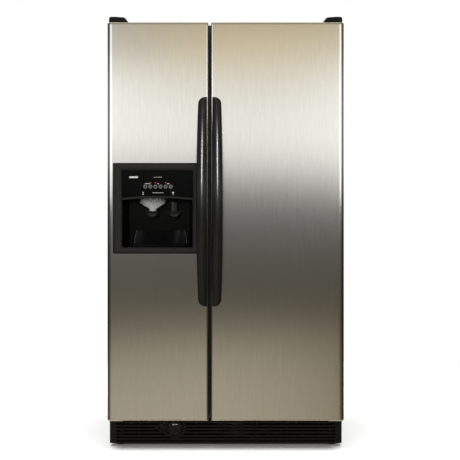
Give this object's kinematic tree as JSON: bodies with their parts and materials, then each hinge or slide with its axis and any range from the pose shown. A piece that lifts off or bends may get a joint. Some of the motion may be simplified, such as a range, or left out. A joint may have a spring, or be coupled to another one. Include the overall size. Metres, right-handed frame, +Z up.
{
  "type": "side by side refrigerator",
  "caption": "Side by side refrigerator-freezer with brushed steel doors, bowed black handles, an ice and water dispenser in the freezer door and a slotted base grille.",
  "frame": {"origin": "on the floor, at the middle of the width and of the depth from handle fronts to rear panel", "axes": "+Z up, -Y is the front with the doors, +X is the right-hand side seen from the front"},
  "size_m": [0.902, 0.84, 1.6535],
  "materials": {
    "cabinet_paint": "satin",
    "rear_board": "matte",
    "foam": "matte",
    "liner_plastic": "satin",
    "chassis_steel": "satin",
    "grille_plastic": "satin",
    "compressor_paint": "gloss",
    "coil_metal": "satin",
    "shelf_coating": "satin",
    "ice_maker_metal": "satin",
    "clear_plastic": "gloss",
    "shelf_glass": "gloss",
    "zinc_steel": "satin",
    "stainless": "satin",
    "gasket_rubber": "matte",
    "black_gloss": "gloss",
    "black_textured": "satin",
    "indicator_red": "gloss",
    "button_plastic": "satin",
    "filter_plastic": "satin",
    "roller_plastic": "satin"
  },
  "bodies": {
    "cabinet": {"cabinet_wrapper": "cabinet_paint", "rear_panel": "rear_board", "cabinet_foam": "foam", "freezer_liner": "liner_plastic", "refrigerator_liner": "liner_plastic", "mullion_rail": "cabinet_paint", "base_chassis": "chassis_steel", "base_grille": "grille_plastic", "compressor": "compressor_paint", "condenser_coil": "coil_metal", "drain_pan": "grille_plastic", "rear_access_cover": "rear_board", "power_inlet": "grille_plastic", "evaporator_coil": "coil_metal", "evaporator_cover": "liner_plastic", "freezer_shelves": "shelf_coating", "ice_maker": "ice_maker_metal", "ice_bin": "clear_plastic", "shelf_glass": "shelf_glass", "shelf_frames": "liner_plastic", "hinge_brackets": "zinc_steel", "hinge_covers": "grille_plastic", "hinge_screws": "zinc_steel"},
    "freezer_door": {"freezer_door_skin": "stainless", "freezer_door_foam": "foam", "freezer_door_liner": "liner_plastic", "freezer_door_gasket": "gasket_rubber", "freezer_door_bins": "clear_plastic", "freezer_door_handle": "black_gloss", "dispenser_housing": "black_textured", "dispenser_bezel": "black_textured", "dispenser_panel": "black_gloss", "indicator_lights": "indicator_red", "ice_funnel": "clear_plastic", "drip_tray": "black_textured"},
    "refrigerator_door": {"refrigerator_door_skin": "stainless", "refrigerator_door_foam": "foam", "refrigerator_door_liner": "liner_plastic", "refrigerator_door_gasket": "gasket_rubber", "refrigerator_door_bins": "clear_plastic", "refrigerator_door_handle": "black_gloss"},
    "ice_lever": {"ice_lever": "black_textured"},
    "water_lever": {"water_lever": "black_textured"},
    "dispenser_button_1": {"dispenser_button_1": "button_plastic"},
    "dispenser_button_2": {"dispenser_button_2": "button_plastic"},
    "dispenser_button_3": {"dispenser_button_3": "button_plastic"},
    "dispenser_button_4": {"dispenser_button_4": "button_plastic"},
    "dispenser_button_5": {"dispenser_button_5": "button_plastic"},
    "dispenser_button_6": {"dispenser_button_6": "button_plastic"},
    "water_filter": {"water_filter": "filter_plastic"},
    "filter_cap": {"filter_cap": "grille_plastic"},
    "filter_button": {"filter_button": "grille_plastic"},
    "condenser_fan": {"condenser_fan": "filter_plastic"},
    "evaporator_fan": {"evaporator_fan": "filter_plastic"},
    "ice_auger": {"ice_auger": "ice_maker_metal"},
    "crisper_upper": {"crisper_upper": "clear_plastic"},
    "crisper_lower": {"crisper_lower": "clear_plastic"},
    "levelling_leg_left": {"levelling_leg_left": "zinc_steel"},
    "levelling_leg_right": {"levelling_leg_right": "zinc_steel"},
    "rear_rollers": {"rear_rollers": "roller_plastic"}
  },
  "joints": [
    {"name": "freezer_door_hinge", "type": "hinge", "parent": "cabinet", "child": "freezer_door", "pos_m": [-0.429, -0.335, 0.9], "axis": [0, 0, -1], "range_deg": [0, 130]},
    {"name": "refrigerator_door_hinge", "type": "hinge", "parent": "cabinet", "child": "refrigerator_door", "pos_m": [0.429, -0.335, 0.9], "axis": [0, 0, 1], "range_deg": [0, 130]},
    {"name": "ice_lever_press", "type": "hinge", "parent": "freezer_door", "child": "ice_lever", "pos_m": [-0.286, -0.27, 0.946], "axis": [1, 0, 0], "range_deg": [0, 10], "stiffness_Nm_per_rad": 0.6, "springref_deg": -5.73},
    {"name": "water_lever_press", "type": "hinge", "parent": "freezer_door", "child": "water_lever", "pos_m": [-0.201, -0.27, 0.946], "axis": [1, 0, 0], "range_deg": [0, 10], "stiffness_Nm_per_rad": 0.6, "springref_deg": -5.73},
    {"name": "dispenser_button_1_press", "type": "slide", "parent": "freezer_door", "child": "dispenser_button_1", "axis": [0, 1, 0], "range_m": [0, 0.0015], "stiffness_N_per_m": 300, "springref_m": -0.0005},
    {"name": "dispenser_button_2_press", "type": "slide", "parent": "freezer_door", "child": "dispenser_button_2", "axis": [0, 1, 0], "range_m": [0, 0.0015], "stiffness_N_per_m": 300, "springref_m": -0.0005},
    {"name": "dispenser_button_3_press", "type": "slide", "parent": "freezer_door", "child": "dispenser_button_3", "axis": [0, 1, 0], "range_m": [0, 0.0015], "stiffness_N_per_m": 300, "springref_m": -0.0005},
    {"name": "dispenser_button_4_press", "type": "slide", "parent": "freezer_door", "child": "dispenser_button_4", "axis": [0, 1, 0], "range_m": [0, 0.0015], "stiffness_N_per_m": 300, "springref_m": -0.0005},
    {"name": "dispenser_button_5_press", "type": "slide", "parent": "freezer_door", "child": "dispenser_button_5", "axis": [0, 1, 0], "range_m": [0, 0.0015], "stiffness_N_per_m": 300, "springref_m": -0.0005},
    {"name": "dispenser_button_6_press", "type": "slide", "parent": "freezer_door", "child": "dispenser_button_6", "axis": [0, 1, 0], "range_m": [0, 0.0015], "stiffness_N_per_m": 300, "springref_m": -0.0005},
    {"name": "water_filter_slide", "type": "slide", "parent": "cabinet", "child": "water_filter", "axis": [0, -1, 0], "range_m": [0, 0.26]},
    {"name": "filter_cap_turn", "type": "hinge", "parent": "water_filter", "child": "filter_cap", "pos_m": [-0.197, -0.27, 0.072], "axis": [0, 1, 0], "range_deg": [0, 90]},
    {"name": "filter_button_press", "type": "slide", "parent": "cabinet", "child": "filter_button", "axis": [0, 1, 0], "range_m": [0, 0.004], "stiffness_N_per_m": 400, "springref_m": -0.0005},
    {"name": "condenser_fan_spin", "type": "hinge", "parent": "cabinet", "child": "condenser_fan", "pos_m": [-0.006, 0.295, 0.15], "axis": [1, 0, 0], "continuous": true},
    {"name": "evaporator_fan_spin", "type": "hinge", "parent": "cabinet", "child": "evaporator_fan", "pos_m": [-0.245, 0.308, 1.12], "axis": [0, 1, 0], "continuous": true},
    {"name": "ice_auger_spin", "type": "hinge", "parent": "cabinet", "child": "ice_auger", "pos_m": [-0.281, 0, 1.19], "axis": [0, 1, 0], "continuous": true},
    {"name": "crisper_upper_slide", "type": "slide", "parent": "cabinet", "child": "crisper_upper", "axis": [0, -1, 0], "range_m": [0, 0.1]},
    {"name": "crisper_lower_slide", "type": "slide", "parent": "cabinet", "child": "crisper_lower", "axis": [0, -1, 0], "range_m": [0, 0.1]},
    {"name": "levelling_leg_left_turn", "type": "hinge", "parent": "cabinet", "child": "levelling_leg_left", "pos_m": [-0.41, -0.225, 0.03], "axis": [0, 0, 1], "continuous": true},
    {"name": "levelling_leg_right_turn", "type": "hinge", "parent": "cabinet", "child": "levelling_leg_right", "pos_m": [0.41, -0.225, 0.03], "axis": [0, 0, 1], "continuous": true},
    {"name": "rear_rollers_roll", "type": "hinge", "parent": "cabinet", "child": "rear_rollers", "pos_m": [0, 0.36, 0.02], "axis": [1, 0, 0], "continuous": true}
  ]
}
